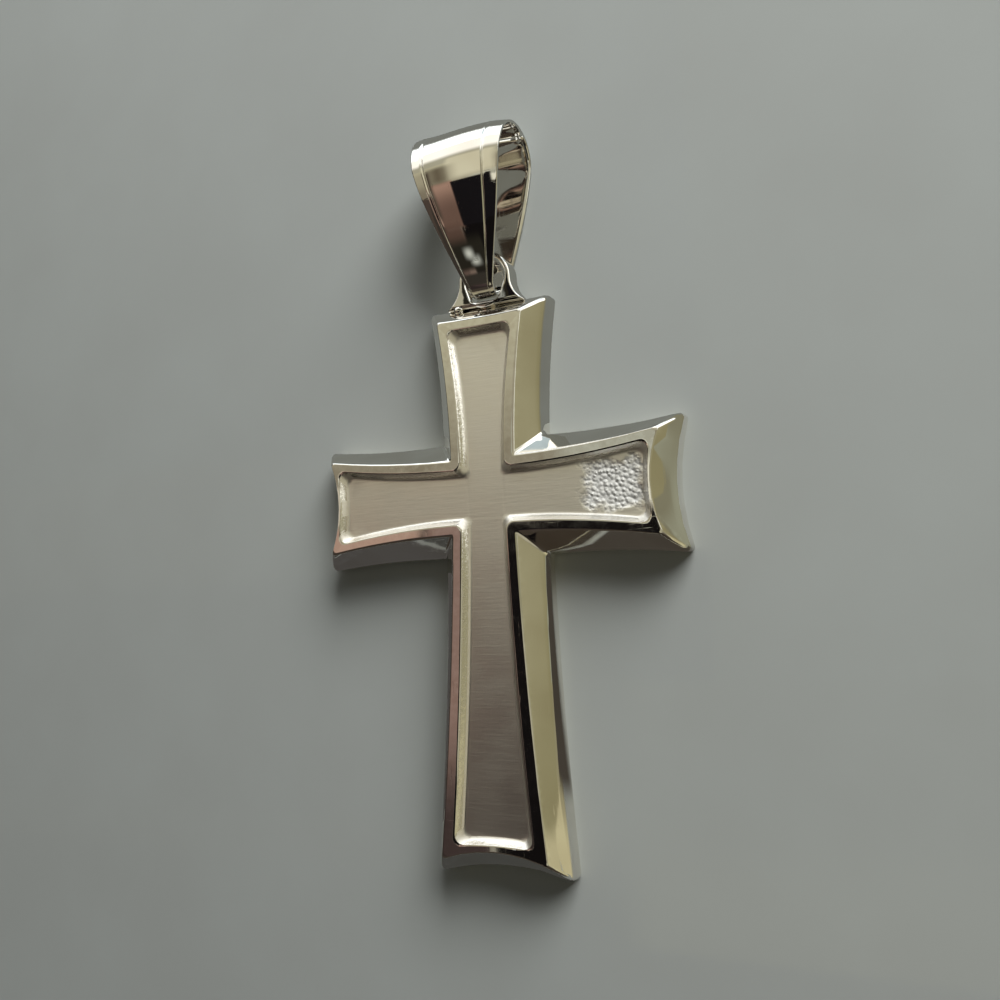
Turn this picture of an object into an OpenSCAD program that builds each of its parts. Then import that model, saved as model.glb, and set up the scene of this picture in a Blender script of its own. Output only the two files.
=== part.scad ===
/* [Cross] */
// Height of the cross over its outer outline, foot to top end
cross_h = 28; // [25:0.05:36]
// Width of the cross over the tips of its side arms
cross_w = 19.7; // [15:0.1:24]
// Height of the side arms' centre line above the foot
crossing_h = 18.15; // [15:0.05:20]
// Thickness of the cross, back to crest
body_t = 2.2; // [1.8:0.05:2.8]
// Height of the upright side wall below the bevel
side_h = 0.95; // [0.5:0.05:1.2]

/* [Arms] */
// Width of the shaft where it crosses the side arms
shaft_w = 5.6; // [4.8:0.1:6.5]
// Width of the side arms where they cross the shaft
beam_w = 5.85; // [4.9:0.05:6.5]
// Width of the top end
top_tip_w = 6.8; // [5.6:0.1:7.8]
// Width of the foot
foot_tip_w = 7.15; // [5.6:0.05:8]
// Width of each side arm at its tip
beam_tip_w = 6.45; // [5.2:0.05:8]
// How far the foot and the two side ends are hollowed
end_scoop = 0.42; // [0:0.02:0.7]
// How far the top end is hollowed
top_scoop = 0.04; // [0:0.02:0.4]
// How far the long sides of the arms are hollowed
side_scoop = 0.12; // [0:0.02:0.3]

/* [Bevel] */
// Width of the bevel at the crossing
bevel_w = 1.1; // [0.7:0.02:1.3]
// Width of the bevel on the long sides of the side arms and the shaft at their tips
bevel_tip_w = 0.8; // [0.5:0.02:1.1]
// Width of the bevel on the top arm's long sides at its tip
bevel_top_w = 1.08; // [0.6:0.02:1.3]
// Width of the bevel across an arm's end
bevel_end_w = 0.92; // [0.5:0.02:1.3]

/* [Tray] */
// Width of the polished rim between the crest and the tray
rim_w = 0.5; // [0.3:0.05:0.8]
// Width of the rim at the foot, where it is broader
foot_rim_w = 0.7; // [0.4:0.05:0.9]
// Width of the tray's sloping wall
tray_wall_w = 0.34; // [0.15:0.02:0.5]
// Depth of the tray
tray_depth = 0.4; // [0.2:0.05:0.8]

/* [Eye] */
// Height of the eye above the top end of the cross
eye_h = 2.65; // [2.3:0.05:3.4]
// Width of the eye over its arch
eye_w = 2.9; // [2.5:0.05:3.4]
// Width of the eye's soldered foot
eye_foot_w = 4.4; // [3.6:0.05:5]
// Width of the band that the eye is made of
eye_band = 0.4; // [0.3:0.02:0.5]
// Thickness of the eye, front to back
eye_t = 1; // [0.6:0.05:1.1]
// Height of the hole's lower edge above the top end
eye_sill = 0.1; // [0:0.01:0.2]
// Rounding of the hole's two lower corners
hole_corner_r = 0.3; // [0.15:0.05:0.4]
// How far the eye's foot reaches down over the top end, where it is soldered
eye_seat = 0.16; // [0.08:0.02:0.4]

/* [Bail] */
// Length of the bail
bail_len = 8.4; // [6.5:0.05:10]
// Depth of the bail at its wide end, along its edges
bail_depth = 3.9; // [3:0.1:5]
// Free room between the eye's front and the bail's front leaf
bail_room = 0.3; // [0.2:0.05:0.7]
// Width of the bail's strip at the wide end
bail_w = 5.15; // [3.5:0.05:6]
// Width of the bail's strip where it passes through the eye
bail_low_w = 1.15; // [0.9:0.05:1.4]
// Thickness of the bail's strip
bail_t = 0.25; // [0.2:0.01:0.35]
// How far the bail's front leaf bulges
bail_bulge = 0.22; // [0:0.02:0.4]
// How far the strip is domed across its width at the wide end
bail_dome = 0.18; // [0:0.01:0.4]
// Clearance between the bail and the eye
bail_gap = 0.12; // [0.1:0.01:0.2]
// Angle by which the loose bail lies turned to the left
bail_turn = 1.5; // [-2:0.5:2]

/* [Hidden] */

// Corner arcs and edges of the cross are cut into this many steps
corner_steps = 4;
edge_steps = 6;
// Steps round the bail's wide end, along its back, and down each side of the eye's foot
loop_steps = 22;
back_steps = 6;
flare_steps = 8;
// Sides of the eye's arch and of the rounding in the corners of its hole
arch_sides = 64;
corner_sides = 24;
// How fast the eye's foot sweeps in, how fast the bail widens, and how far up its bulge sits
flare_power = 2.2;
taper_power = 1.08;
bulge_power = 0.8;
// Share of an end's hollow that fades out over the rim
scoop_fade = 0.85;

// Heights in the cross, from its back
bevel_h = body_t - side_h;
floor_z = body_t - tray_depth;

// The crossing is the cross's own centre, and this is where the top end, the foot and the bail lie from it
top_y = cross_h - crossing_h;
foot_y = -crossing_h;
sill_y = top_y + eye_sill;
seat_y = top_y - eye_seat;
bail_low_y = sill_y + bail_gap;
bail_top_y = bail_low_y + bail_len;
centre_y = (foot_y + bail_top_y + bail_dome) / 2;

// Eye and bail
eye_z = bail_t + bail_gap;
eye_r = eye_w / 2;
arch_y = top_y + eye_h - eye_r;
hole_r = eye_r - eye_band;
hole_low_w = bail_low_w + 4 * bail_gap;
low_r = (bail_t + bail_gap) + (eye_t + bail_room) / 2;
wide_r = bail_depth / 2;
low_y = bail_low_y + low_r;
wide_y = bail_top_y - wide_r;

// Sections of the cross from its back up over the crest and down into the tray. The first three columns say how much
// of the bevel, the rim and the tray wall is crossed, and the last three how much of the side, the bevel's height and
// the tray's depth. The radius column is the rounding of the corners.
SEC_BEVEL = 0;
SEC_RIM = 1;
SEC_WALL = 2;
SEC_SIDE_H = 3;
SEC_BEVEL_H = 4;
SEC_DEPTH = 5;
SEC_RADIUS = 6;
sections = [
    // bevel, rim, wall, side_h, bevel_h, depth, radius
    [0.11, 0.00, 0.00, 0.00, 0.00, 0.00, 0.20],
    [0.00, 0.00, 0.00, 0.16, 0.00, 0.00, 0.22],
    [0.00, 0.00, 0.00, 0.68, 0.00, 0.00, 0.22],
    [0.03, 0.00, 0.00, 0.88, 0.00, 0.00, 0.22],
    [0.09, 0.00, 0.00, 1.00, 0.04, 0.00, 0.22],
    [0.18, 0.00, 0.00, 1.00, 0.15, 0.00, 0.21],
    [0.30, 0.00, 0.00, 1.00, 0.29, 0.00, 0.20],
    [0.94, 0.00, 0.00, 1.00, 0.94, 0.00, 0.15],
    [1.00, 0.04, 0.00, 1.00, 0.985, 0.00, 0.15],
    [1.00, 0.16, 0.00, 1.00, 1.00, 0.00, 0.17],
    [1.00, 0.86, 0.00, 1.00, 1.00, 0.00, 0.34],
    [1.00, 1.00, 0.04, 1.00, 1.00, 0.07, 0.40],
    [1.00, 1.00, 0.20, 1.00, 1.00, 0.28, 0.42],
    [1.00, 1.00, 0.70, 1.00, 1.00, 0.82, 0.40],
    [1.00, 1.00, 1.00, 1.00, 1.00, 0.97, 0.36],
    [1.00, 1.00, 1.30, 1.00, 1.00, 1.00, 0.32],
];

function sec_z(s) = s[SEC_SIDE_H] * side_h + s[SEC_BEVEL_H] * bevel_h - s[SEC_DEPTH] * tray_depth;
function sec_inset(s, bevel) = s[SEC_BEVEL] * bevel + s[SEC_RIM] * rim_w + s[SEC_WALL] * tray_wall_w;
// The tray's ends are straight, so the hollow of an arm's end fades out over the rim
function sec_scoop(s, depth) = depth * (1 - scoop_fade * s[SEC_RIM]);

// The twelve corners of one section, anticlockwise from the right of the top end
function corners(s) =
    let (side = sec_inset(s, bevel_w), tip = sec_inset(s, bevel_tip_w), end = sec_inset(s, bevel_end_w),
         foot_rim = s[SEC_RIM] * (foot_rim_w - rim_w), foot_x = foot_tip_w / 2 - tip - foot_rim,
         foot_end = foot_y + end + foot_rim, top_x = top_tip_w / 2 - sec_inset(s, bevel_top_w),
         arm_x = cross_w / 2 - end, arm_y = beam_tip_w / 2 - tip, in_x = shaft_w / 2 - side, in_y = beam_w / 2 - side,
         right = [[in_x, -in_y], [arm_x, -arm_y], [arm_x, arm_y], [in_x, in_y], [top_x, top_y - end]])
    [right[4], [-top_x, top_y - end], [-in_x, in_y], [-arm_x, arm_y], [-arm_x, -arm_y], [-in_x, -in_y],
     [-foot_x, foot_end], [foot_x, foot_end], right[0], right[1], right[2], right[3]];

// How far the edge after each corner is hollowed
function hollow(s, i) =
    (i == 0) ? sec_scoop(s, top_scoop) : (i == 3 || i == 6 || i == 9) ? sec_scoop(s, end_scoop) : side_scoop;

function unit(v) = v / norm(v);
function left_of(v) = [-v[1], v[0]];
function turned(v, angle) = [v[0] * cos(angle) - v[1] * sin(angle), v[0] * sin(angle) + v[1] * cos(angle)];
function cross_z(a, b) = a[0] * b[1] - a[1] * b[0];

// Points of the arc that rounds a corner, between the edge that comes in and the edge that goes out
function corner_arc(p, dir_in, dir_out, r) =
    let (turn = atan2(cross_z(dir_in, dir_out), dir_in * dir_out), side = sign(turn),
         start = p - dir_in * r * tan(abs(turn) / 2), centre = start + left_of(dir_in) * side * r)
    [for (k = [0:corner_steps]) centre + turned(start - centre, turn * k / corner_steps)];

// Points between two arcs, on an edge hollowed by a given depth
function edge_points(a, b, depth) =
    [for (k = [1:edge_steps - 1]) let (t = k / edge_steps)
        a + (b - a) * t + left_of(unit(b - a)) * depth * 4 * t * (1 - t)];

function outline(s) =
    let (c = corners(s), n = len(c),
         dirs = [for (i = [0:n - 1]) c[(i + 1) % n] - c[i]],
         bend = [for (i = [0:n - 1]) atan(4 * hollow(s, i) / norm(dirs[i]))],
         arcs = [for (i = [0:n - 1]) let (before = (i + n - 1) % n)
             corner_arc(c[i], turned(unit(dirs[before]), -bend[before]), turned(unit(dirs[i]), bend[i]),
                        s[SEC_RADIUS])])
    [for (i = [0:n - 1]) each concat(arcs[i], edge_points(arcs[i][corner_steps], arcs[(i + 1) % n][0],
                                                          hollow(s, i)))];

// Closed solid through rings of equal length, with a fan from the crossing at each end
module cross_solid() {
    rings = [for (s = sections) [for (p = outline(s)) [p[0], p[1], sec_z(s)]]];
    n = len(rings[0]);
    last = len(rings) - 1;
    points = concat([for (r = rings) each r], [[0, 0, 0], [0, 0, floor_z]]);
    back_hub = n * (last + 1);
    walls = [for (r = [0:last - 1], i = [0:n - 1]) let (a = r * n + i, b = r * n + (i + 1) % n)
        each [[a, a + n, b + n], [a, b + n, b]]];
    back = [for (i = [0:n - 1]) [i, (i + 1) % n, back_hub]];
    tray = [for (i = [0:n - 1]) [last * n + (i + 1) % n, last * n + i, back_hub + 1]];
    polyhedron(points, concat(walls, back, tray));
}

// Outline of the eye's foot, which sweeps in from the solder line to the arch
function flare(side) =
    [for (k = [0:flare_steps]) let (t = k / flare_steps)
        [side * (eye_r + (eye_foot_w / 2 - eye_r) * pow(1 - t, flare_power)), seat_y + t * (arch_y - seat_y)]];

module eye_outline() {
    translate([0, arch_y]) circle(eye_r, $fn = arch_sides);
    polygon(concat(flare(1), [for (k = [flare_steps:-1:0]) flare(-1)[k]]));
}

// The hole is round above and flatter below, where the bail lies in it
module eye_hole() {
    hull() {
        translate([0, arch_y]) circle(hole_r, $fn = arch_sides);
        for (side = [-1, 1])
            translate([side * (hole_low_w / 2 - hole_corner_r), sill_y + hole_corner_r])
                circle(hole_corner_r, $fn = corner_sides);
    }
}

module eye() {
    translate([0, 0, eye_z]) linear_extrude(eye_t) difference() {
        eye_outline();
        eye_hole();
    }
}

module cross_body() {
    color("silver") translate([0, -centre_y, 0]) union() {
        cross_solid();
        eye();
    }
}

// Side view of the bail: a wide and a narrow circle that stand on the same floor, joined by straight stretches
centres_tilt = atan2(wide_r - low_r, wide_y - low_y);
belt_tilt = centres_tilt + asin((wide_r - low_r) / norm([wide_y - low_y, wide_r - low_r]));

function on_circle(y, r, angle) = [y + r * cos(angle), r + r * sin(angle)];

// Middle line of the strip as [y, z], from the floor under the wide end round the top, down the front and back
function bail_line() =
    let (inset = bail_t / 2,
         wide = [for (k = [0:loop_steps]) on_circle(wide_y, wide_r, -90 + (180 + belt_tilt) * k / loop_steps)],
         low = [for (k = [0:loop_steps / 2])
             on_circle(low_y, low_r, 90 + belt_tilt + (180 - belt_tilt) * 2 * k / loop_steps)],
         front = [for (k = [1:loop_steps / 2 - 1]) let (t = 2 * k / loop_steps, a = wide[loop_steps], b = low[0])
             a + (b - a) * t - left_of(unit(b - a)) * bail_bulge * sin(180 * pow(t, bulge_power))],
         back = [for (k = [1:back_steps - 1]) [low_y + (wide_y - low_y) * k / back_steps, 0]],
         outer = concat(wide, front, low, back), n = len(outer))
    [for (i = [0:n - 1])
        outer[i] + left_of(unit(outer[(i + 1) % n] - outer[(i + n - 1) % n])) * inset];

// Width of the strip at a height along the bail, from its narrow to its wide end
function strip_w(y) =
    let (t = min(1, max(0, (y - bail_low_y) / bail_len)))
    bail_low_w + (bail_w - bail_low_w) * sin(90 * pow(t, taper_power));

// The strip's cross-section as shares of its width and thickness, with eased edges
strip_across = [-0.46, -0.31, -0.155, 0, 0.155, 0.31, 0.46];
strip_section = concat([[-0.5, 0.25], [-0.5, -0.25]], [for (x = strip_across) [x, -0.5]],
                       [[0.5, -0.25], [0.5, 0.25]], [for (x = strip_across) [-x, 0.5]]);

// Height of the dome over the flat strip, which lies flat where it rests on the floor
function dome(share, w, z) = bail_dome * pow(w / bail_w, 2) * min(1, z / wide_r) * (1 - pow(2 * share, 2));

module bail() {
    line = bail_line();
    n = len(line);
    m = len(strip_section);
    points = [for (i = [0:n - 1])
        let (inward = left_of(unit(line[(i + 1) % n] - line[(i + n - 1) % n])), w = strip_w(line[i][0]))
        for (c = strip_section)
            let (p = line[i] + inward * (c[1] * bail_t - dome(c[0], w, line[i][1]))) [c[0] * w, p[0], p[1]]];
    faces = [for (i = [0:n - 1], k = [0:m - 1])
        let (a = i * m + k, b = i * m + (k + 1) % m, c = ((i + 1) % n) * m + k, d = ((i + 1) % n) * m + (k + 1) % m)
        each [[a, b, d], [a, d, c]]];
    color("gainsboro") translate([0, low_y - centre_y, 0]) rotate(bail_turn) translate([0, -low_y, 0])
        polyhedron(points, faces);
}

cross_body();
bail();
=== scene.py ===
import math

import bmesh
import bpy
from mathutils import Matrix, Vector


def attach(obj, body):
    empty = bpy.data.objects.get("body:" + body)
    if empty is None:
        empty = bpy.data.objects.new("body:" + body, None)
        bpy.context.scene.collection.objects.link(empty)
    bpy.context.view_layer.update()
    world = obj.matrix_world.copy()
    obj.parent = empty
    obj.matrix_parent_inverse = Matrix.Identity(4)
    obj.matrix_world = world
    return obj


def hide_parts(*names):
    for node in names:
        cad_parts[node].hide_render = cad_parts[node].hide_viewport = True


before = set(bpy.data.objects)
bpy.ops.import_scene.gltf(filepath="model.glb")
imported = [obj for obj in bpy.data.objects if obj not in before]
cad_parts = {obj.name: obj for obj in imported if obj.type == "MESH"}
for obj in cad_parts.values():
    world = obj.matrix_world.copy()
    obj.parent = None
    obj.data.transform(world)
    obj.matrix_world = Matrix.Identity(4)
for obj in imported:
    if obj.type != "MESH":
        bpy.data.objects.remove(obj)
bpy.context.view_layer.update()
mm = 0.001
crossingY = -0.25  # where the crossing of the arms lies in the frame; every place below is measured from it


def at(x, y, z):
    return Vector((x, y + crossingY, z)) * mm


def fromCrossing(point):
    return point / mm - Vector((0, crossingY, 0))


# Camera

camera = {
    "place": (21.98, -5.69, 44.92),
    "aim": (-0.13, -0.02, 0.0),
    "roll": -1.83,  # degrees, against the table's +Y
    "lens": 36.0,
    "sensor": 36.0,
    "nearest": 0.001,
    "furthest": 20.0,
}


def addCamera():
    data = bpy.data.cameras.new("studioCamera")
    data.lens = camera["lens"]
    data.sensor_width = camera["sensor"]
    data.clip_start = camera["nearest"]
    data.clip_end = camera["furthest"]
    shooter = bpy.data.objects.new("studioCamera", data)
    bpy.context.collection.objects.link(shooter)
    back = (at(*camera["place"]) - at(*camera["aim"])).normalized()
    right = Vector((0, 1, 0)).cross(back).normalized()
    up = back.cross(right)
    turn = Matrix((right, up, back)).transposed().to_4x4()
    shooter.matrix_world = Matrix.Translation(at(*camera["place"])) @ turn @ Matrix.Rotation(
        math.radians(camera["roll"]), 4, "Z"
    )
    bpy.context.scene.camera = shooter


addCamera()
print("camera placed")


# Shader helpers


def newMaterial(name):
    material = bpy.data.materials.new(name)
    material.use_nodes = True
    nodes = material.node_tree.nodes
    links = material.node_tree.links
    return material, nodes, links, nodes["Principled BSDF"]


def objectPoints(nodes):
    return nodes.new("ShaderNodeTexCoord").outputs["Object"]


def stretched(tree, points, scale, turn=0.0):
    mapping = tree.nodes.new("ShaderNodeMapping")
    mapping.inputs["Scale"].default_value = scale
    mapping.inputs["Rotation"].default_value[2] = math.radians(turn)
    tree.links.new(points, mapping.inputs["Vector"])
    return mapping.outputs["Vector"]


def noise(tree, points, scale, detail=2.0, roughness=0.5):
    texture = tree.nodes.new("ShaderNodeTexNoise")
    texture.inputs["Detail"].default_value = detail
    texture.inputs["Roughness"].default_value = roughness
    if isinstance(scale, (int, float)):
        texture.inputs["Scale"].default_value = scale
    else:
        tree.links.new(scale, texture.inputs["Scale"])
    tree.links.new(points, texture.inputs["Vector"])
    return texture.outputs["Fac"]


def remap(tree, value, fromLow, fromHigh, toLow=0.0, toHigh=1.0, smooth=False):
    node = tree.nodes.new("ShaderNodeMapRange")
    node.interpolation_type = "SMOOTHSTEP" if smooth else "LINEAR"
    ends = {"From Min": fromLow, "From Max": fromHigh, "To Min": toLow, "To Max": toHigh}
    for name, number in ends.items():
        node.inputs[name].default_value = number
    tree.links.new(value, node.inputs["Value"])
    return node.outputs["Result"]


def maths(tree, operation, a, b):
    node = tree.nodes.new("ShaderNodeMath")
    node.operation = operation
    for socket, value in zip(node.inputs, (a, b)):
        if isinstance(value, (int, float)):
            socket.default_value = value
        else:
            tree.links.new(value, socket)
    return node.outputs["Value"]


def mixColour(tree, factor, first, second):
    node = tree.nodes.new("ShaderNodeMix")
    node.data_type = "RGBA"
    tree.links.new(factor, node.inputs["Factor"])
    for name, value in (("A", first), ("B", second)):
        if isinstance(value, tuple):
            node.inputs[name].default_value = (*value, 1)
        else:
            tree.links.new(value, node.inputs[name])
    return node.outputs["Result"]


def bump(tree, height, distance, normal=None):
    node = tree.nodes.new("ShaderNodeBump")
    node.inputs["Distance"].default_value = distance * mm
    tree.links.new(height, node.inputs["Height"])
    if normal is not None:
        tree.links.new(normal, node.inputs["Normal"])
    return node.outputs["Normal"]


# Effects that more than one metal uses

perMm = 1 / mm
polishLook = {
    "waveDetail": 1.2,
    "waveRoughness": 0.4,
    "lineStretch": (1, 0.07, 0.4),
    "lineTurn": 28,
    "lineRange": (0.64, 0.72),
    "crossingStretch": (0.06, 1, 0.4),
    "crossingTurn": -12,
    "crossingRange": (0.66, 0.74),
    "lineDetail": 2,
    "patchDetail": 3,
    "patchRange": (0.42, 0.62),
}
wearLook = {
    "scale": 2.6,  # per mm, as all scales of patterns
    "detail": 3,
    "range": (0.35, 0.65),
}
brushLook = {
    "fineStretch": (0.05, 1, 1),
    "fineDetail": 3,
    "fineRoughness": 0.6,
    "fineRange": (0.3, 0.7),
    "broadStretch": (0.12, 0.6, 1),
    "broadTurn": 1.5,
    "broadDetail": 1,
    "broadShare": 0.6,
}


def newGroup(name, inputs, outputs):
    group = bpy.data.node_groups.new(name, "ShaderNodeTree")
    for label, kind in inputs:
        group.interface.new_socket(name=label, in_out="INPUT", socket_type=kind)
    for label, kind in outputs:
        group.interface.new_socket(name=label, in_out="OUTPUT", socket_type=kind)
    return group, group.nodes.new("NodeGroupInput").outputs, group.nodes.new("NodeGroupOutput").inputs


def makePolishMarks():
    look = polishLook
    group, given, result = newGroup(
        "polishMarks",
        [("Points", "NodeSocketVector"), ("Wave Scale", "NodeSocketFloat"), ("Mark Scale", "NodeSocketFloat")],
        [("Waves", "NodeSocketFloat"), ("Marks", "NodeSocketFloat")],
    )
    points, waveScale, markScale = (given[name] for name in ("Points", "Wave Scale", "Mark Scale"))
    waves = noise(group, points, waveScale, look["waveDetail"], look["waveRoughness"])
    group.links.new(waves, result["Waves"])
    along = stretched(group, points, look["lineStretch"], look["lineTurn"])
    lines = noise(group, along, markScale, look["lineDetail"])
    across = stretched(group, points, look["crossingStretch"], look["crossingTurn"])
    crossing = noise(group, across, markScale, look["lineDetail"])
    patches = noise(group, points, waveScale, look["patchDetail"])
    seenLines = remap(group, lines, *look["lineRange"])
    fine = maths(group, "MAXIMUM", seenLines, remap(group, crossing, *look["crossingRange"]))
    marks = maths(group, "MULTIPLY", fine, remap(group, patches, *look["patchRange"]))
    group.links.new(marks, result["Marks"])
    return group


def makeEdgeWear():
    group, given, result = newGroup(
        "edgeWear",
        [("Points", "NodeSocketVector"), ("Edge", "NodeSocketFloat"), ("Sharpness", "NodeSocketFloat")],
        [("Wear", "NodeSocketFloat")],
    )
    near = maths(group, "POWER", given["Edge"], given["Sharpness"])
    spots = noise(group, given["Points"], wearLook["scale"] * perMm, wearLook["detail"])
    broken = remap(group, spots, *wearLook["range"])
    group.links.new(maths(group, "MULTIPLY", near, broken), result["Wear"])
    return group


def makeBrushing():
    look = brushLook
    group, given, result = newGroup(
        "brushing",
        [("Points", "NodeSocketVector"), ("Line Scale", "NodeSocketFloat")],
        [("Height", "NodeSocketFloat"), ("Streaks", "NodeSocketFloat")],
    )
    points, lineScale = given["Points"], given["Line Scale"]
    finePoints = stretched(group, points, look["fineStretch"])
    fine = noise(group, finePoints, lineScale, look["fineDetail"], look["fineRoughness"])
    broadPoints = stretched(group, points, look["broadStretch"], look["broadTurn"])
    broad = noise(group, broadPoints, lineScale, look["broadDetail"])
    height = maths(group, "ADD", fine, maths(group, "MULTIPLY", broad, look["broadShare"]))
    group.links.new(height, result["Height"])
    group.links.new(remap(group, fine, *look["fineRange"]), result["Streaks"])
    return group


polishMarks = makePolishMarks()
edgeWear = makeEdgeWear()
brushing = makeBrushing()


def place(nodes, group, **values):
    node = nodes.new("ShaderNodeGroup")
    node.node_tree = group
    for name, value in values.items():
        node.inputs[name.replace("_", " ")].default_value = value
    return node


# Mesh helpers

mergeGap = 0.002
edgeAngle = 14  # degrees between two faces from which their edge wears
facesUp = 0.99  # how far a level face's normal points up
heightMargin = 0.005  # in mm, as all lengths here


def mergedCopy(nodeName):
    bm = bmesh.new()
    bm.from_mesh(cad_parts[nodeName].data)
    bmesh.ops.remove_doubles(bm, verts=bm.verts, dist=mergeGap * mm)
    bm.normal_update()
    return bm


def finishPiece(bm, name, materials, smoothAngle):
    edge = bm.verts.layers.float.new("edge")
    for vert in bm.verts:
        bends = [e.calc_face_angle(0) for e in vert.link_edges if len(e.link_faces) == 2]
        vert[edge] = 1.0 if bends and max(bends) > math.radians(edgeAngle) else 0.0
    for face in bm.faces:
        face.smooth = True
    mesh = bpy.data.meshes.new(name)
    bm.to_mesh(mesh)
    bm.free()
    mesh.set_sharp_from_angle(angle=math.radians(smoothAngle))
    for material in materials:
        mesh.materials.append(material)
    piece = bpy.data.objects.new(name, mesh)
    bpy.context.collection.objects.link(piece)
    return piece


# Cross

cross = {
    "top": 9.85,
    "floorZ": 1.8,
    "wallTop": 2.17,
    "wallLean": 0.62,  # flatter parts of the tray's wall are satin, as its floor
    "smoothAngle": 32,
    "flatAngle": 0.6,  # triangles that bend less than this are joined
    "shapeAngle": 90,
    "evenness": 0.5,
    "roundedAngle": 24,
    "shortest": 0.12,  # shorter edges stay as they are
    "rounding": 0.06,
    "roundingSteps": 3,
    "weighting": 80,
    "rimLevel": 0.999,
    "rimZ": 2.19,  # level faces above this are the rim
    "crestZ": 2.0,
    "eastLean": 0.35,  # the bevels that face right keep a hard crest
    "softBelowY": -12.5,  # except near the foot
    "westLean": 0.3,  # the shaft's right wall is as bright as the rim
    "westBelowY": -2.5,
}
eye = {
    "frontZ": 1.37,
    "backZ": 0.37,
    "seat": 9.69,
    "halfFoot": 2.25,
    "margin": 0.01,
    "topMargin": 0.001,
    "bevelLean": (0.02, 0.98),  # how far up or down the bevels' normals point
    "endLean": 0.9,
    "rimAngle": 60,
    "edge": 0.17,
    "edgeSteps": 5,
    "smoothAngle": 40,
}
solder = {
    "place": (-1.5, 9.68, 1.3),
    "size": (0.27, 0.2, 0.17),
    "detail": 3,
}


def isEyeFace(face):
    middle = fromCrossing(face.calc_center_median())
    if middle.y < eye["seat"] - eye["margin"] or abs(middle.x) > eye["halfFoot"]:
        return False
    if middle.y > cross["top"] + eye["topMargin"]:
        return True
    least, most = eye["bevelLean"]
    onBevel = least < abs(face.normal.z) < most
    onEndWall = face.normal.y > eye["endLean"]
    return not (onBevel or onEndWall)


def liesAt(face, z):
    return face.normal.z > facesUp and abs(fromCrossing(face.calc_center_median()).z - z) < heightMargin


def trayFaces(bm):
    floor = [f for f in bm.faces if liesAt(f, cross["floorZ"])]
    walls = set()
    edgeFaces = list(floor)
    known = set(floor)
    while edgeFaces:
        face = edgeFaces.pop()
        for linked in (f for e in face.edges for f in e.link_faces):
            if linked not in known and fromCrossing(linked.calc_center_median()).z < cross["wallTop"]:
                known.add(linked)
                edgeFaces.append(linked)
                if linked.normal.z > cross["wallLean"]:
                    floor.append(linked)
                else:
                    walls.add(linked)
    return floor, walls


def keepsHard(edge):
    middle = fromCrossing((edge.verts[0].co + edge.verts[1].co) / 2)
    facesEast = any(f.normal.x > cross["eastLean"] for f in edge.link_faces)
    return facesEast and middle.z > cross["crestZ"] and middle.y > cross["softBelowY"]


def roundEdges(bm):
    bmesh.ops.join_triangles(
        bm, faces=bm.faces, cmp_materials=True, angle_face_threshold=math.radians(cross["flatAngle"]),
        angle_shape_threshold=math.radians(cross["shapeAngle"]), topology_influence=cross["evenness"],
    )
    bm.normal_update()
    bent = [e for e in bm.edges if e.calc_face_angle(0) > math.radians(cross["roundedAngle"])]
    sharp = [e for e in bent if e.calc_length() > cross["shortest"] * mm and not keepsHard(e)]
    print("cross: edges rounded", len(sharp))
    bmesh.ops.bevel(
        bm, geom=sharp, offset=cross["rounding"] * mm, affect="EDGES", segments=cross["roundingSteps"],
        profile=0.5, material=-1, clamp_overlap=True,
    )
    bm.normal_update()


def isRimFace(polygon):
    return polygon.normal.z > cross["rimLevel"] and fromCrossing(polygon.center).z > cross["rimZ"]


def levelRim(piece):
    # The facets get weighted normals, and the rim's point straight up, so it mirrors as one level face
    modifier = piece.modifiers.new("flatFacets", "WEIGHTED_NORMAL")
    modifier.keep_sharp = True
    modifier.weight = cross["weighting"]
    evaluated = piece.evaluated_get(bpy.context.evaluated_depsgraph_get())
    normals = [corner.vector.copy() for corner in evaluated.data.corner_normals]
    piece.modifiers.clear()
    mesh = piece.data
    gentle = math.cos(math.radians(cross["smoothAngle"]))
    rim = [p for p in mesh.polygons if isRimFace(p)]
    rimPoints = {point for p in rim for point in p.vertices}
    for polygon in mesh.polygons:
        if polygon.normal.z < gentle:
            continue
        for corner in polygon.loop_indices:
            if mesh.loops[corner].vertex_index in rimPoints:
                normals[corner] = Vector((0, 0, 1))
    mesh.normals_split_custom_set(normals)
    print("cross: level rim faces", len(rim))


def isRightWall(face):
    middle = fromCrossing(face.calc_center_median())
    return face.normal.x < -cross["westLean"] and middle.y < cross["westBelowY"]


def addCross(polished, satin, wallSilver):
    bm = mergedCopy("cross_body")
    bmesh.ops.delete(bm, geom=[f for f in bm.faces if isEyeFace(f)], context="FACES")
    openEdges = [e for e in bm.edges if e.is_boundary]
    bmesh.ops.holes_fill(bm, edges=openEdges, sides=0)
    floor, walls = trayFaces(bm)
    for face in floor:
        face.material_index = 1
    for face in walls:
        face.material_index = 0 if isRightWall(face) else 2
    print("cross: open edges filled", len(openEdges), "left", sum(e.is_boundary for e in bm.edges))
    print("cross: tray floor faces", len(floor), "wall faces", len(walls))
    roundEdges(bm)
    piece = finishPiece(bm, "crossShell", [polished, satin, wallSilver], cross["smoothAngle"])
    levelRim(piece)
    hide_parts("cross_body")
    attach(piece, "root")


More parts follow.
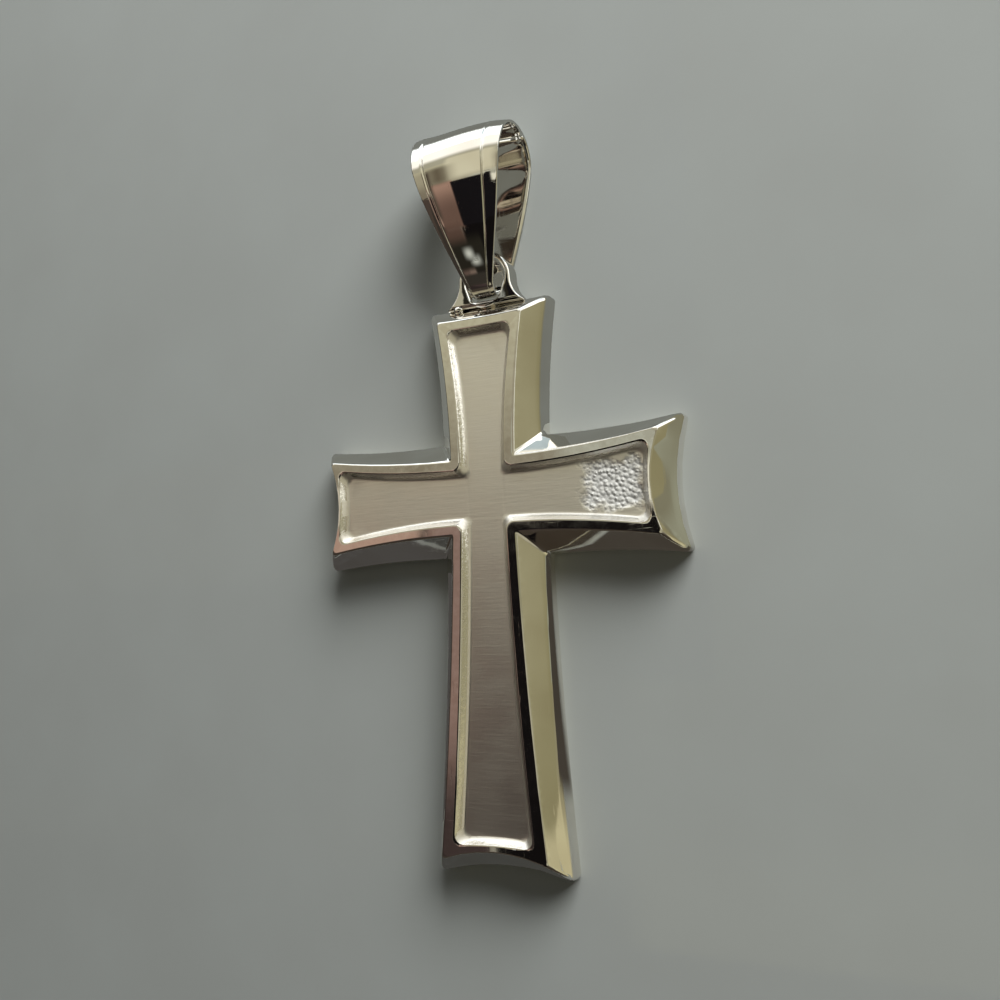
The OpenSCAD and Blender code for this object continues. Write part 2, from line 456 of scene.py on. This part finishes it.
def addEye(polished):
    bm = mergedCopy("cross_body")
    front = {
        f for f in bm.faces
        if liesAt(f, eye["frontZ"]) and fromCrossing(f.calc_center_median()).y > eye["seat"] - eye["margin"]
    }
    bmesh.ops.delete(bm, geom=[f for f in bm.faces if f not in front], context="FACES")
    grown = bmesh.ops.extrude_face_region(bm, geom=bm.faces[:], use_keep_orig=True)
    moved = [g for g in grown["geom"] if isinstance(g, bmesh.types.BMVert)]
    bmesh.ops.translate(bm, verts=moved, vec=Vector((0, 0, eye["backZ"] - eye["frontZ"])) * mm)
    bmesh.ops.recalc_face_normals(bm, faces=bm.faces)
    bm.normal_update()
    steep = math.radians(eye["rimAngle"])
    rims = [e for e in bm.edges if len(e.link_faces) == 2 and e.calc_face_angle() > steep]
    bmesh.ops.bevel(
        bm, geom=rims, offset=eye["edge"] * mm, affect="EDGES", segments=eye["edgeSteps"], profile=0.5,
        material=-1, clamp_overlap=True,
    )
    bead = bmesh.ops.create_icosphere(bm, subdivisions=solder["detail"], radius=mm)["verts"]
    bmesh.ops.scale(bm, verts=bead, vec=solder["size"])
    bmesh.ops.translate(bm, verts=bead, vec=at(*solder["place"]))
    print("eye faces", len(bm.faces))
    piece = finishPiece(bm, "eyeBand", [polished], eye["smoothAngle"])
    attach(piece, "root")


# Bail

bail = {
    "lowY": 11.09,
    "turn": 1.5,  # degrees that the bail lies turned about its narrow end
    "flatAngle": 60,
    "shapeAngle": 90,
    "evenness": 1.0,
    "outerShare": 0.46,  # the outer side's last lines of the mesh, as a share of the strip's width
    "flatLean": 0.3,  # a face leans no more than this on the outer side
    "shareMargin": 0.001,
    "lineEdges": ((0.380, 0.345), (0.338, 0.310)),  # of the two engraved lines, as shares of the width
    "alongLean": 0.5,  # edges that run round the loop lean less than this across it
    "crease": 0.45,
    "creaseAngle": 18,
    "lineDepth": 0.05,
    "borderDrop": 0.05,
    "frontZ": 2.2,  # the front leaf lies above this
    # how far the front leaf is dressed up or down at each height above the crossing
    "leafDressing": (
        (11.4, 0.0), (13.0, -0.06), (14.2, -0.06), (15.0, 0.01), (15.7, 0.08), (16.3, 0.08), (17.2, 0.0),
    ),
    # the left corner of the wide end stands higher: where it begins, where it is full, and by how much
    "cornerX": (-1.4, -2.5),
    "cornerY": (16.2, 18.6),
    "cornerLift": 0.32,
    "smoothAngle": 180,
    "levels": 2,
}


def nextFace(face, edge):
    return next(f for f in edge.link_faces if f is not face)


def oppositeEdge(face, edge):
    return next(e for e in face.edges if not set(e.verts) & set(edge.verts))


def leanAcross(edge):
    return abs((edge.verts[0].co - edge.verts[1].co).normalized().x)


def edgesRound(face, start):
    found = [start]
    while True:
        face = nextFace(face, found[-1])
        edge = oppositeEdge(face, found[-1])
        if edge is start:
            return found
        found.append(edge)


def markShares(bm, share):
    # The six rows of faces on the outer side, from the highest face across and then round the loop
    highest = max(bm.faces, key=lambda f: f.calc_center_median().z + f.normal.z * mm)
    row = [highest]
    for edge in sorted(highest.edges, key=leanAcross)[:2]:
        face = nextFace(highest, edge)
        while abs(face.normal.x) < bail["flatLean"]:
            row.append(face)
            edge = oppositeEdge(face, edge)
            face = nextFace(face, edge)
    row.sort(key=lambda f: f.calc_center_median().x)
    step = 2 * bail["outerShare"] / len(row)
    for index, face in enumerate(row):
        for edge in edgesRound(face, max(face.edges, key=leanAcross)):
            low, high = sorted(edge.verts, key=lambda v: v.co.x)
            low[share] = step * index - bail["outerShare"]
            high[share] = step * (index + 1) - bail["outerShare"]
    print("bail rows on the outer side:", len(row))
    return bail["outerShare"] - step


def cutLine(bm, share, first, second, wanted):
    places = {}
    for edge in bm.edges:
        start, end = (v[share] for v in edge.verts)
        away = abs(min(start, end) - min(first, second)) + abs(max(start, end) - max(first, second))
        if away < bail["shareMargin"]:
            places[edge] = (wanted - start) / (end - start)
    bmesh.ops.subdivide_edges(bm, edges=list(places), cuts=1, edge_percents=places)


def sink(bm, share, line, depth):
    for vert in bm.verts:
        if abs(vert[share] - line) < bail["shareMargin"]:
            vert.co -= vert.normal * depth * mm


def dressLeaf(bm):
    # A straighter slope and a tighter bend at the wide end, as a hand-closed strip has
    for vert in bm.verts:
        point = fromCrossing(vert.co)
        if point.z < bail["frontZ"]:
            continue
        for (lowY, lowMove), (highY, highMove) in zip(bail["leafDressing"], bail["leafDressing"][1:]):
            if lowY <= point.y < highY:
                share = (point.y - lowY) / (highY - lowY)
                vert.co.z += (lowMove + (highMove - lowMove) * share) * mm


def liftCorner(bm):
    (nearX, farX), (nearY, farY) = bail["cornerX"], bail["cornerY"]
    for vert in bm.verts:
        point = fromCrossing(vert.co)
        across = min(1, max(0, (point.x - nearX) / (farX - nearX)))
        along = min(1, max(0, (point.y - nearY) / (farY - nearY)))
        vert.co.y += bail["cornerLift"] * across * along * mm


def addBail(polished):
    bm = mergedCopy("bail")
    pivot = at(0, bail["lowY"], 0)
    straighten = Matrix.Rotation(math.radians(-bail["turn"]), 3, "Z")
    bmesh.ops.rotate(bm, verts=bm.verts, cent=pivot, matrix=straighten)
    bmesh.ops.join_triangles(
        bm, faces=bm.faces, angle_face_threshold=math.radians(bail["flatAngle"]),
        angle_shape_threshold=math.radians(bail["shapeAngle"]), topology_influence=bail["evenness"],
    )
    dressLeaf(bm)
    liftCorner(bm)
    bm.normal_update()
    share = bm.verts.layers.float.new("share")
    inner = markShares(bm, share)
    for side, lineEdges in zip((-1, 1), bail["lineEdges"]):
        border = side * bail["outerShare"]
        outerLine, innerLine = (side * place for place in lineEdges)
        middleLine = (outerLine + innerLine) / 2
        cutLine(bm, share, border, side * inner, outerLine)
        cutLine(bm, share, outerLine, side * inner, innerLine)
        cutLine(bm, share, outerLine, innerLine, middleLine)
        bm.normal_update()
        sink(bm, share, middleLine, bail["lineDepth"])
        sink(bm, share, border, bail["borderDrop"])
    crease = bm.edges.layers.float.new("crease_edge")
    bm.normal_update()
    bend = math.radians(bail["creaseAngle"])
    for edge in bm.edges:
        if leanAcross(edge) < bail["alongLean"] and edge.calc_face_angle(0) > bend:
            edge[crease] = bail["crease"]
    bmesh.ops.rotate(bm, verts=bm.verts, cent=pivot, matrix=straighten.inverted())
    bm.normal_update()
    print("bail faces:", len(bm.faces), "with four sides:", sum(len(f.verts) == 4 for f in bm.faces))
    piece = finishPiece(bm, "bailStrip", [polished], bail["smoothAngle"])
    rounding = piece.modifiers.new("rounding", "SUBSURF")
    rounding.levels = bail["levels"]
    rounding.render_levels = bail["levels"]
    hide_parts("bail")
    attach(piece, "root")


# Silver

silver = {
    "colour": (0.87, 0.85, 0.81),
    "wornColour": (0.92, 0.91, 0.88),
    "dullColour": (0.80, 0.77, 0.72),
    "dullRange": (0.35, 0.7),
    "roughness": 0.045,
    "wornRoughness": 0.075,
    "markRoughness": 0.11,
    "waveScale": 0.55,  # waves per mm
    "waveHeight": 0.0045,
    "markScale": 9.0,
    "markDepth": 0.0007,
    "wearSharpness": 7.0,
}
satin = {
    "colour": (0.97, 0.94, 0.89),
    "streakColour": (0.91, 0.88, 0.82),
    "roughness": (0.34, 0.42),
    "streakRange": (0.2, 0.8),
    "blotchScale": 0.5,
    "blotchDetail": 2,
    "blotchRange": (0.35, 0.65),
    "lineScale": 12.0,
    "lineDepth": 0.005,
}
# The coarse patch in the right arm's tray: its middle, half size and grain
patch = {
    "middle": (6.55, 0.0),
    "half": (1.3, 1.05),
    "fade": 0.35,
    "ragged": 0.3,
    "raggedScale": 1.6,
    "raggedDetail": 3,
    "raggedRange": (0.3, 0.7),
    "grain": 5.4,
    "smoothness": 0.6,
    "depth": 0.1,
    "roughness": 0.3,
    "colour": (1.0, 0.98, 0.92),
    "matt": 0.88,
}
trayWall = {
    "grain": 6,
    "detail": 3,
    "range": (0.3, 0.7),
    "roughness": (0.16, 0.28),
    "depth": 0.012,
}


def silverShader(name):
    material, nodes, links, shader = newMaterial(name)
    tree = material.node_tree
    points = objectPoints(nodes)
    waveScale, markScale = silver["waveScale"] * perMm, silver["markScale"] * perMm
    polish = place(nodes, polishMarks, Wave_Scale=waveScale, Mark_Scale=markScale)
    links.new(points, polish.inputs["Points"])
    wear = place(nodes, edgeWear, Sharpness=silver["wearSharpness"])
    links.new(points, wear.inputs["Points"])
    edge = nodes.new("ShaderNodeAttribute")
    edge.attribute_name = "edge"
    links.new(edge.outputs["Fac"], wear.inputs["Edge"])
    dull = remap(tree, polish.outputs["Waves"], *silver["dullRange"])
    plain = mixColour(tree, dull, silver["colour"], silver["dullColour"])
    links.new(mixColour(tree, wear.outputs["Wear"], plain, silver["wornColour"]), shader.inputs["Base Color"])
    rough = silver["roughness"]
    marked = maths(tree, "MULTIPLY", polish.outputs["Marks"], silver["markRoughness"] - rough)
    worn = maths(tree, "MULTIPLY", wear.outputs["Wear"], silver["wornRoughness"] - rough)
    links.new(maths(tree, "ADD", maths(tree, "ADD", marked, worn), rough), shader.inputs["Roughness"])
    shader.inputs["Metallic"].default_value = 1
    waves = bump(tree, polish.outputs["Waves"], silver["waveHeight"])
    links.new(bump(tree, polish.outputs["Marks"], -silver["markDepth"], waves), shader.inputs["Normal"])
    return material


def boxMask(tree, points):
    split = tree.nodes.new("ShaderNodeSeparateXYZ")
    tree.links.new(points, split.inputs["Vector"])
    middle = at(patch["middle"][0], patch["middle"][1], 0)
    border = noise(tree, points, patch["raggedScale"] * perMm, patch["raggedDetail"])
    ragged = remap(tree, border, *patch["raggedRange"], -patch["ragged"], patch["ragged"])
    mask = None
    for axis, centre, half in (("X", middle.x, patch["half"][0]), ("Y", middle.y, patch["half"][1])):
        away = maths(tree, "ABSOLUTE", maths(tree, "SUBTRACT", split.outputs[axis], centre), 0)
        scaled = maths(tree, "ADD", maths(tree, "DIVIDE", away, mm), ragged)
        near = remap(tree, scaled, half - patch["fade"], half + patch["fade"], 1, 0, smooth=True)
        mask = near if mask is None else maths(tree, "MULTIPLY", mask, near)
    return mask


def satinSilver():
    material, nodes, links, shader = newMaterial("satinTray")
    tree = material.node_tree
    points = objectPoints(nodes)
    brush = place(nodes, brushing, Line_Scale=satin["lineScale"] * perMm)
    links.new(points, brush.inputs["Points"])
    mask = boxMask(tree, points)
    clouds = noise(tree, points, satin["blotchScale"] * perMm, satin["blotchDetail"])
    blotches = remap(tree, clouds, *satin["blotchRange"])
    streaked = maths(tree, "MULTIPLY", maths(tree, "ADD", brush.outputs["Streaks"], blotches), 0.5)
    brushed = mixColour(tree, streaked, satin["colour"], satin["streakColour"])
    links.new(mixColour(tree, mask, brushed, patch["colour"]), shader.inputs["Base Color"])
    satinRough = remap(tree, streaked, *satin["streakRange"], *satin["roughness"])
    drop = maths(tree, "MULTIPLY", mask, patch["roughness"] - satin["roughness"][0])
    links.new(maths(tree, "ADD", satinRough, drop), shader.inputs["Roughness"])
    links.new(remap(tree, mask, 0, 1, 1, 1 - patch["matt"]), shader.inputs["Metallic"])
    lines = bump(tree, brush.outputs["Height"], satin["lineDepth"])
    cells = nodes.new("ShaderNodeTexVoronoi")
    cells.feature = "SMOOTH_F1"
    cells.inputs["Scale"].default_value = patch["grain"] * perMm
    cells.inputs["Smoothness"].default_value = patch["smoothness"]
    links.new(points, cells.inputs["Vector"])
    pits = maths(tree, "MULTIPLY", mask, cells.outputs["Distance"])
    links.new(bump(tree, pits, -patch["depth"], lines), shader.inputs["Normal"])
    return material


def wallSilverShader():
    material, nodes, links, shader = newMaterial("trayWall")
    tree = material.node_tree
    points = objectPoints(nodes)
    grain = noise(tree, points, trayWall["grain"] * perMm, trayWall["detail"])
    dull = remap(tree, grain, *trayWall["range"])
    links.new(mixColour(tree, dull, silver["colour"], silver["dullColour"]), shader.inputs["Base Color"])
    links.new(remap(tree, grain, *trayWall["range"], *trayWall["roughness"]), shader.inputs["Roughness"])
    shader.inputs["Metallic"].default_value = 1
    links.new(bump(tree, grain, trayWall["depth"]), shader.inputs["Normal"])
    return material


polished = silverShader("polishedSilver")
addCross(polished, satinSilver(), wallSilverShader())
addEye(polished)
addBail(silverShader("bailSilver"))
print("pieces made")


# Table, lights and what the metal mirrors

table = {
    "size": 3000.0,
    "colour": (0.575, 0.60, 0.565),
    "mottle": (0.555, 0.575, 0.54),
    "mottleScale": 0.12,
    "mottleDetail": 4,
    "mottleRange": (0.35, 0.65),
    "roughness": 0.62,
}


def addTable():
    bm = bmesh.new()
    bmesh.ops.create_grid(bm, x_segments=1, y_segments=1, size=table["size"] * mm / 2)
    mesh = bpy.data.meshes.new("table")
    bm.to_mesh(mesh)
    bm.free()
    top = bpy.data.objects.new("table", mesh)
    bpy.context.collection.objects.link(top)
    material, nodes, links, shader = newMaterial("paleTable")
    tree = material.node_tree
    spots = noise(tree, objectPoints(nodes), table["mottleScale"] * perMm, table["mottleDetail"])
    mottled = remap(tree, spots, *table["mottleRange"])
    links.new(mixColour(tree, mottled, table["colour"], table["mottle"]), shader.inputs["Base Color"])
    shader.inputs["Roughness"].default_value = table["roughness"]
    mesh.materials.append(material)


window = {
    "azimuth": 56,
    "elevation": 27,
    "distance": 330.0,
    "width": 225.0,
    "height": 160.0,
    "radiance": 10.0,
    "colour": (0.97, 0.99, 1.0),
}


def direction(azimuth, elevation):
    a, e = math.radians(azimuth), math.radians(elevation)
    return Vector((math.cos(e) * math.cos(a), math.cos(e) * math.sin(a), math.sin(e)))


def addWindow():
    data = bpy.data.lights.new("window", "AREA")
    data.shape = "RECTANGLE"
    data.size = window["width"] * mm
    data.size_y = window["height"] * mm
    # An area light's radiance is its power over its area and pi
    data.energy = window["radiance"] * math.pi * data.size * data.size_y
    data.color = window["colour"]
    light = bpy.data.objects.new("window", data)
    bpy.context.collection.objects.link(light)
    towards = direction(window["azimuth"], window["elevation"])
    light.location = towards * window["distance"] * mm
    light.rotation_euler = towards.to_track_quat("Z", "Y").to_euler()
    # The lamp is hidden from reflections; the window cards paint its highlights on the metal
    light.visible_glossy = False


# Cards that only the metal mirrors, each between two corners: painted reflections, which glow but light
# nothing.
# A second colour takes over along an axis, and fade is how far in from its borders a card fades, along X, Y
# and Z.
cards = {
    # Painted reflection: a dark slab overhead, which the metal mirrors as black
    "slab": {"low": (-22.6, -120, 47), "high": (12, 3.5, 47), "colour": (0.006, 0.005, 0.005)},
    # Painted reflections on the bail and the eye: the dark flags paint shade, the two glints paint a
    # highlight, the glow paints a pale highlight, and the brown, pink and dusk cards paint warm tones and
    # shade
    "lowFlag": {"low": (-2.6, 9.7, 4), "high": (0.3, 12.7, 4), "colour": (0.02, 0.018, 0.013),
                "fade": (0.2, 0.9)},
    "footFlag": {"low": (-1.4, 9.5, 3.1), "high": (0.6, 10.75, 3.1), "colour": (0.035, 0.03, 0.024),
                 "fade": (0.2, 0.3)},
    "upperGlint": {"low": (-1.2, 10.95, 3.8), "high": (-0.3, 12.0, 3.8), "colour": (0.56, 0.58, 0.52),
                   "fade": (0.45, 0.52)},
    "lowerGlint": {"low": (-0.95, 10.5, 3.8), "high": (0.0, 11.5, 3.8), "colour": (0.56, 0.58, 0.52),
                   "fade": (0.47, 0.5)},
    "bailBrown": {"low": (-3.3, 10.8, 5.5), "high": (-1.3, 12.9, 5.5), "colour": (0.10, 0.062, 0.047),
                  "fade": (0.3, 0.8)},
    "bailShade": {"low": (-4.3, 12.4, 6.8), "high": (-3.2, 16.4, 6.8), "colour": (0.07, 0.055, 0.04),
                  "fade": (0.5, 0.6)},
    "bailFlag": {"low": (-2.08, 11.8, 7), "high": (1.7, 15, 7), "colour": (0.008, 0.007, 0.008),
                 "fade": (0.15, 0.12)},
    "bailDusk": {"low": (-4.8, 14.6, 7.1), "high": (-1.0, 16.8, 7.1), "colour": (0.13, 0.105, 0.07),
                 "fade": (2.2, 0.9)},
    "bailPink": {"low": (-4, 11.6, 7.2), "high": (-1.8, 15.2, 7.2), "colour": (0.15, 0.092, 0.07),
                 "second": (0.38, 0.24, 0.18), "along": ("Y", 13.0, 14.9), "fade": (0.3, 0.3)},
    "bailGlow": {"low": (-2.6, 14.7, 7.3), "high": (2.2, 18.4, 7.3), "colour": (0.66, 0.62, 0.45),
                 "fade": (0.6, 0.8)},
    # Painted reflections of the room: the gap, warm, pink and brown cards paint warm tones and shade beside
    # the slab, the ceilings and the olive and cream cards paint the metal's broad reflections, and the windows
    # paint its bright highlights
    "gapCard": {"low": (-25, -15, 45), "high": (-21.2, -8, 45), "colour": (0.42, 0.3, 0.24), "fade": (1, 2)},
    "warmCard": {"low": (-44, -1, 45.5), "high": (-29.5, 3.5, 45.5), "colour": (0.42, 0.28, 0.215)},
    "pinkCard": {"low": (-28.5, -60, 45.5), "high": (-22.6, 3.5, 45.5), "colour": (0.05, 0.035, 0.032),
                 "second": (0.25, 0.165, 0.135), "along": ("Y", -26, -14)},
    "brownCard": {"low": (-60, -60, 45.6), "high": (-28.5, 3.5, 45.6), "colour": (0.03, 0.022, 0.02),
                  "second": (0.07, 0.052, 0.042), "along": ("Y", -26, -14)},
    "ceiling": {"low": (-90, 3.5, 46), "high": (80, 27, 46), "colour": (0.23, 0.2, 0.145),
                "second": (0.47, 0.44, 0.31), "along": ("Y", 5, 24)},
    "ceilingEast": {"low": (-16, 3.5, 45.8), "high": (9, 12.2, 45.8), "colour": (0.85, 0.83, 0.68),
                    "second": (0.42, 0.42, 0.34), "along": ("Y", 7, 8.6), "fade": (4, 0.8)},
    "ceilingWest": {"low": (-44, 3.6, 45.8), "high": (-14, 8.2, 45.8), "colour": (0.62, 0.56, 0.44),
                    "fade": (3, 0.6)},
    "farCeiling": {"low": (-90, 27, 46), "high": (80, 100, 46), "colour": (0.42, 0.4, 0.3),
                   "second": (1.25, 1.22, 1.12), "along": ("Y", 38, 56)},
    "eastCeiling": {"low": (12, -60, 46), "high": (60, 3.5, 46), "colour": (0.42, 0.39, 0.28),
                    "second": (0.27, 0.25, 0.15), "along": ("Y", -6, 0)},
    "oliveCard": {"low": (40, -45, 0), "high": (40, 21, 17), "colour": (0.28, 0.255, 0.14),
                  "second": (0.34, 0.315, 0.19), "along": ("Z", 0, 12)},
    "creamCard": {"low": (39.5, -60, 0), "high": (39.5, -18.2, 17), "colour": (0.52, 0.475, 0.29),
                  "fade": (0, 2, 0)},
    "sideWindow": {"low": (300, -150, 80), "high": (300, 115, 420), "colour": (0.3, 0.28, 0.18),
                   "second": (1.5, 1.5, 1.35), "along": ("Y", 20, 62)},
    "eastWindow": {"low": (300, 115, 0), "high": (300, 500, 420), "colour": (1.7, 1.7, 1.6)},
    "cornerWindow": {"low": (170, 500, 0), "high": (300, 500, 420), "colour": (0.6, 0.73, 0.8)},
    "windowCard": {"low": (-620, 500, 0), "high": (170, 500, 420), "colour": (1.7, 1.8, 1.85)},
    # Sheets just above the table that only the metal mirrors: painted reflections of the table. The dark ones
    # paint shade into the mirrored table, and footSheetRight paints a lit patch of it
    "northSheet": {"low": (-60, 3.6, 0.03), "high": (10.3, 60, 0.03), "colour": (0.2, 0.21, 0.19)},
    "southSheetLeft": {"low": (-60, -16, 0.03), "high": (-3.9, -3.5, 0.03), "colour": (0.07, 0.066, 0.062)},
    "southSheetRight": {"low": (3.1, -15, 0.04), "high": (13, -2.4, 0.04), "colour": (0.06, 0.052, 0.042),
                        "fade": (0.4, 1.6)},
    "eastSheet": {"low": (10.3, -9, 0.03), "high": (60, 40, 0.03), "colour": (0.31, 0.315, 0.23),
                  "second": (0.225, 0.215, 0.145), "along": ("Y", -1, 3)},
    "footSheetRight": {"low": (5, -21, 0.03), "high": (63, -9, 0.03), "colour": (0.56, 0.51, 0.31),
                       "second": (0.29, 0.265, 0.16), "along": ("Y", -18.5, -14), "fade": (2, 0)},
    "footSheet": {"low": (-40, -60, 0.03), "high": (3.6, -18.6, 0.03), "colour": (0.06, 0.06, 0.055)},
}


def cardMaterial(name, card, low, high):
    material, nodes, links, shader = newMaterial(name)
    tree = material.node_tree
    shader.inputs["Base Color"].default_value = (0, 0, 0, 1)
    shader.inputs["Specular IOR Level"].default_value = 0
    shader.inputs["Emission Strength"].default_value = 1
    shader.inputs["Emission Color"].default_value = (*card["colour"], 1)
    split = nodes.new("ShaderNodeSeparateXYZ")
    links.new(objectPoints(nodes), split.inputs["Vector"])
    if "second" in card:
        axis, start, end = card["along"]
        offset = crossingY if axis == "Y" else 0
        share = remap(tree, split.outputs[axis], (start + offset) * mm, (end + offset) * mm, smooth=True)
        links.new(mixColour(tree, share, card["colour"], card["second"]), shader.inputs["Emission Color"])
    if "fade" in card:
        seen = None
        for axis, width in enumerate(card["fade"]):
            if width == 0:
                continue
            middle = (low[axis] + high[axis]) / 2
            half = (high[axis] - low[axis]) / 2
            away = maths(tree, "ABSOLUTE", maths(tree, "SUBTRACT", split.outputs[axis], middle), 0)
            near = remap(tree, away, half - width * mm, half, 1, 0, smooth=True)
            seen = near if seen is None else maths(tree, "MULTIPLY", seen, near)
        links.new(seen, shader.inputs["Alpha"])
    return material


def addCards():
    for name, card in cards.items():
        low, high = at(*card["low"]), at(*card["high"])
        bm = bmesh.new()
        bmesh.ops.create_grid(bm, x_segments=1, y_segments=1, size=0.5)
        flat = min(range(3), key=lambda axis: (high - low)[axis])
        if flat != 2:
            turn = Matrix.Rotation(math.radians(90), 3, "Y" if flat == 0 else "X")
            bmesh.ops.rotate(bm, verts=bm.verts, cent=(0, 0, 0), matrix=turn)
        size = high - low
        size[flat] = 1
        bmesh.ops.scale(bm, verts=bm.verts, vec=size)
        bmesh.ops.translate(bm, verts=bm.verts, vec=(low + high) / 2)
        mesh = bpy.data.meshes.new(name)
        bm.to_mesh(mesh)
        bm.free()
        plane = bpy.data.objects.new(name, mesh)
        bpy.context.collection.objects.link(plane)
        # The camera, diffuse rays and shadow rays never see a card, so a card only paints reflections
        plane.visible_camera = False
        plane.visible_diffuse = False
        plane.visible_shadow = False
        mesh.materials.append(cardMaterial(name, card, low, high))


room = {
    "fill": (0.055, 0.055, 0.05),  # what lights the table
    "base": (0.30, 0.28, 0.21),  # what the metal mirrors: a painted reflection, which lights nothing
    # The patches paint light and shade into the mirrored room
    # direction, inner and outer half angle in degrees, colour
    "patches": [
        ((90, 45), 30, 80, (0.42, 0.40, 0.34)),
        ((5, 5), 15, 45, (0.27, 0.25, 0.15)),
        ((-95, 0), 40, 75, (0.05, 0.04, 0.03)),
        ((180, 10), 25, 60, (0.04, 0.033, 0.027)),
    ],
}


def addRoom():
    world = bpy.data.worlds.new("room")
    bpy.context.scene.world = world
    world.use_nodes = True
    tree = world.node_tree
    way = tree.nodes.new("ShaderNodeTexCoord").outputs["Generated"]
    colour = room["base"]
    for (azimuth, elevation), inner, outer, tint in room["patches"]:
        dot = tree.nodes.new("ShaderNodeVectorMath")
        dot.operation = "DOT_PRODUCT"
        dot.inputs[1].default_value = direction(azimuth, elevation)
        tree.links.new(way, dot.inputs[0])
        borders = (math.cos(math.radians(angle)) for angle in (outer, inner))
        fade = remap(tree, dot.outputs["Value"], *borders, smooth=True)
        colour = mixColour(tree, fade, colour, tint)
    # Glossy rays see the painted reflection, all other rays the fill light
    path = tree.nodes.new("ShaderNodeLightPath")
    seen = mixColour(tree, path.outputs["Is Glossy Ray"], room["fill"], colour)
    tree.links.new(seen, tree.nodes["Background"].inputs["Color"])


addTable()
addWindow()
addCards()
addRoom()
bpy.context.scene.view_settings.view_transform = "Standard"
print("studio lit")
